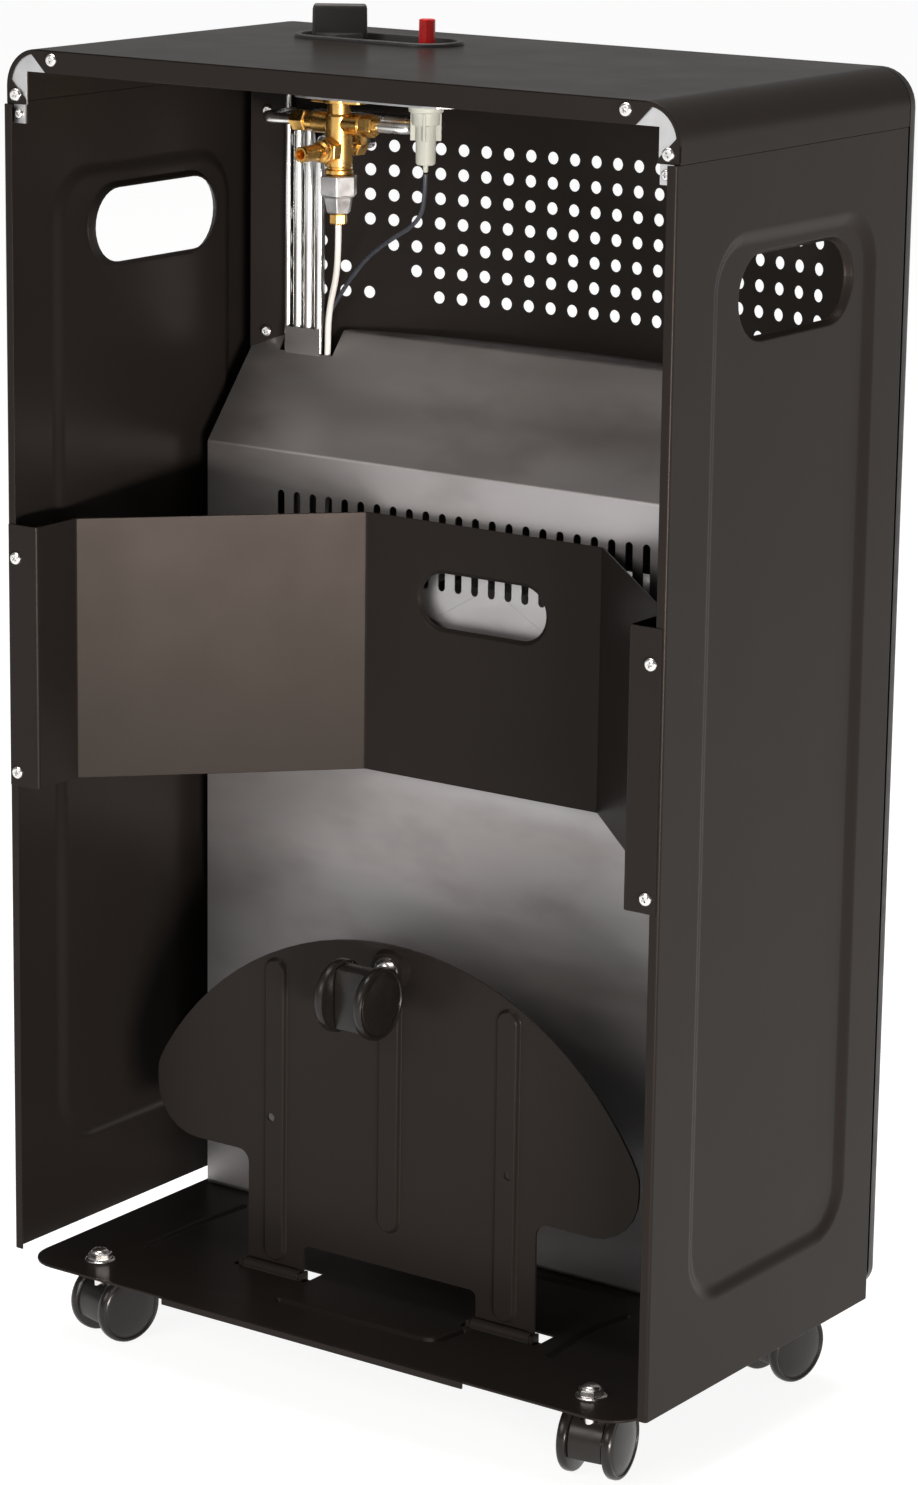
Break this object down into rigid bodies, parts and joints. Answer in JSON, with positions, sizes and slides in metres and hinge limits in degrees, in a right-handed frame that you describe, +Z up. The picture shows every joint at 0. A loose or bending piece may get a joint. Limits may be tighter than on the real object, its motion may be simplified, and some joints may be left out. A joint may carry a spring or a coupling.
{
  "type": "portable gas cabinet heater",
  "caption": "Portable gas cabinet heater seen open at the back: folded sheet cabinet on swivel casters, bottle strap, fold-down bottle tray, gas valve and bowed perforated front.",
  "frame": {"origin": "on the floor, under the middle of the overall size", "axes": "+Z up, +X to the right seen from the front, +Y toward the open back"},
  "size_m": [0.42, 0.2374, 0.7345],
  "materials": {
    "black_paint": "satin black powder coat",
    "sheet_paint": "satin black heat-resistant paint",
    "bracket_zinc": "zinc-plated sheet",
    "fascia_plastic": "fine-grained black",
    "shield_steel": "galvanised sheet",
    "bright_zinc": "bright zinc plate",
    "caster_plastic": "black moulding",
    "wheel_plastic": "black moulding",
    "console_plastic": "dark moulding",
    "red_plastic": "red moulding",
    "igniter_plastic": "light grey moulding",
    "brass": "machined brass",
    "cap_zinc": "zinc-plated steel",
    "pipe_aluminium": "drawn tube",
    "white_sleeve": "white sleeve",
    "lead_insulation": "dark insulation",
    "plaque_ceramic": "unglazed",
    "burner_steel": "pressed steel",
    "reflector_steel": "polished steel",
    "guard_chrome": "plated wire"
  },
  "bodies": {
    "cabinet": {"base_plate": "black_paint", "bottle_strap": "black_paint", "caster_nuts": "bright_zinc", "caster_stems": "bright_zinc", "centre_burner": "burner_steel", "centre_burner_pipe": "pipe_aluminium", "ceramic_plaques": "plaque_ceramic", "console_bezel": "console_plastic", "control_plate": "bracket_zinc", "cover_screws": "bright_zinc", "fascia_frame": "fascia_plastic", "front_screws": "bright_zinc", "front_sheet": "sheet_paint", "gas_valve": "brass", "heat_shield": "shield_steel", "hose_nozzle": "brass", "igniter": "igniter_plastic", "ignition_electrode": "plaque_ceramic", "ignition_lead": "lead_insulation", "injector_rail": "bracket_zinc", "injectors": "brass", "left_burner": "burner_steel", "left_burner_pipe": "pipe_aluminium", "left_corner_bracket": "bracket_zinc", "left_side_panel": "black_paint", "magnet_cap": "cap_zinc", "pilot_bracket": "bracket_zinc", "pilot_burner": "brass", "pilot_pipe": "pipe_aluminium", "pipe_nuts": "brass", "reflector": "reflector_steel", "right_burner": "burner_steel", "right_burner_pipe": "pipe_aluminium", "right_corner_bracket": "bracket_zinc", "right_side_panel": "black_paint", "strap_screws": "bright_zinc", "thermocouple_lead": "white_sleeve", "thermocouple_nut": "brass", "top_cover": "black_paint", "tray_hinges": "black_paint", "wire_guard": "guard_chrome"},
    "valve_push": {"valve_push_pin": "cap_zinc"},
    "knob": {"control_knob": "console_plastic", "valve_spindle": "cap_zinc"},
    "igniter_push": {"igniter_button": "red_plastic", "igniter_plunger": "igniter_plastic"},
    "tray": {"bottle_tray": "black_paint", "tray_caster_stem": "bright_zinc", "tray_caster_nut": "bright_zinc"},
    "rear_right_swivel": {"rear_right_caster_hood": "caster_plastic"},
    "rear_right_wheels": {"rear_right_caster_wheels": "wheel_plastic"},
    "rear_left_swivel": {"rear_left_caster_hood": "caster_plastic"},
    "rear_left_wheels": {"rear_left_caster_wheels": "wheel_plastic"},
    "front_right_swivel": {"front_right_caster_hood": "caster_plastic"},
    "front_right_wheels": {"front_right_caster_wheels": "wheel_plastic"},
    "front_left_swivel": {"front_left_caster_hood": "caster_plastic"},
    "front_left_wheels": {"front_left_caster_wheels": "wheel_plastic"},
    "tray_swivel": {"tray_caster_hood": "caster_plastic"},
    "tray_wheels": {"tray_caster_wheels": "wheel_plastic"}
  },
  "joints": [
    {"name": "valve_push", "type": "slide", "parent": "cabinet", "child": "valve_push", "axis": [0, 0, -1], "range_m": [0, 0.004], "stiffness_N_per_m": 800, "springref_m": -0.004},
    {"name": "knob_turn", "type": "hinge", "parent": "valve_push", "child": "knob", "pos_m": [0.112, -0.05275, 0.7165], "axis": [0, 0, 1], "range_deg": [0, 250]},
    {"name": "igniter_push", "type": "slide", "parent": "cabinet", "child": "igniter_push", "axis": [0, 0, -1], "range_m": [0, 0.005], "stiffness_N_per_m": 800, "springref_m": -0.004},
    {"name": "tray_fold", "type": "hinge", "parent": "cabinet", "child": "tray", "pos_m": [0, 0.04812, 0.04718], "axis": [-1, 0, 0], "range_deg": [0, 90]},
    {"name": "rear_right_swivel", "type": "hinge", "parent": "cabinet", "child": "rear_right_swivel", "pos_m": [0.164, 0.09325, 0.045], "axis": [0, 0, 1], "continuous": true},
    {"name": "rear_right_roll", "type": "hinge", "parent": "rear_right_swivel", "child": "rear_right_wheels", "pos_m": [0.16141, 0.08359, 0.02], "axis": [0.9659, -0.2588, 0], "continuous": true},
    {"name": "rear_left_swivel", "type": "hinge", "parent": "cabinet", "child": "rear_left_swivel", "pos_m": [-0.164, 0.09325, 0.045], "axis": [0, 0, 1], "continuous": true},
    {"name": "rear_left_roll", "type": "hinge", "parent": "rear_left_swivel", "child": "rear_left_wheels", "pos_m": [-0.16235, 0.08339, 0.02], "axis": [0.9863, 0.165, 0], "continuous": true},
    {"name": "front_right_swivel", "type": "hinge", "parent": "cabinet", "child": "front_right_swivel", "pos_m": [0.164, -0.08175, 0.045], "axis": [0, 0, 1], "continuous": true},
    {"name": "front_right_roll", "type": "hinge", "parent": "front_right_swivel", "child": "front_right_wheels", "pos_m": [0.16608, -0.09153, 0.02], "axis": [0.9781, 0.2079, 0], "continuous": true},
    {"name": "front_left_swivel", "type": "hinge", "parent": "cabinet", "child": "front_left_swivel", "pos_m": [-0.164, -0.08175, 0.045], "axis": [0, 0, 1], "continuous": true},
    {"name": "front_left_roll", "type": "hinge", "parent": "front_left_swivel", "child": "front_left_wheels", "pos_m": [-0.16608, -0.09153, 0.02], "axis": [0.9781, -0.2079, 0], "continuous": true},
    {"name": "tray_swivel", "type": "hinge", "parent": "tray", "child": "tray_swivel", "pos_m": [0, 0.0503, 0.235], "axis": [0, 1, 0], "continuous": true},
    {"name": "tray_roll", "type": "hinge", "parent": "tray_swivel", "child": "tray_wheels", "pos_m": [0, 0.0753, 0.225], "axis": [1, 0, 0], "continuous": true}
  ]
}
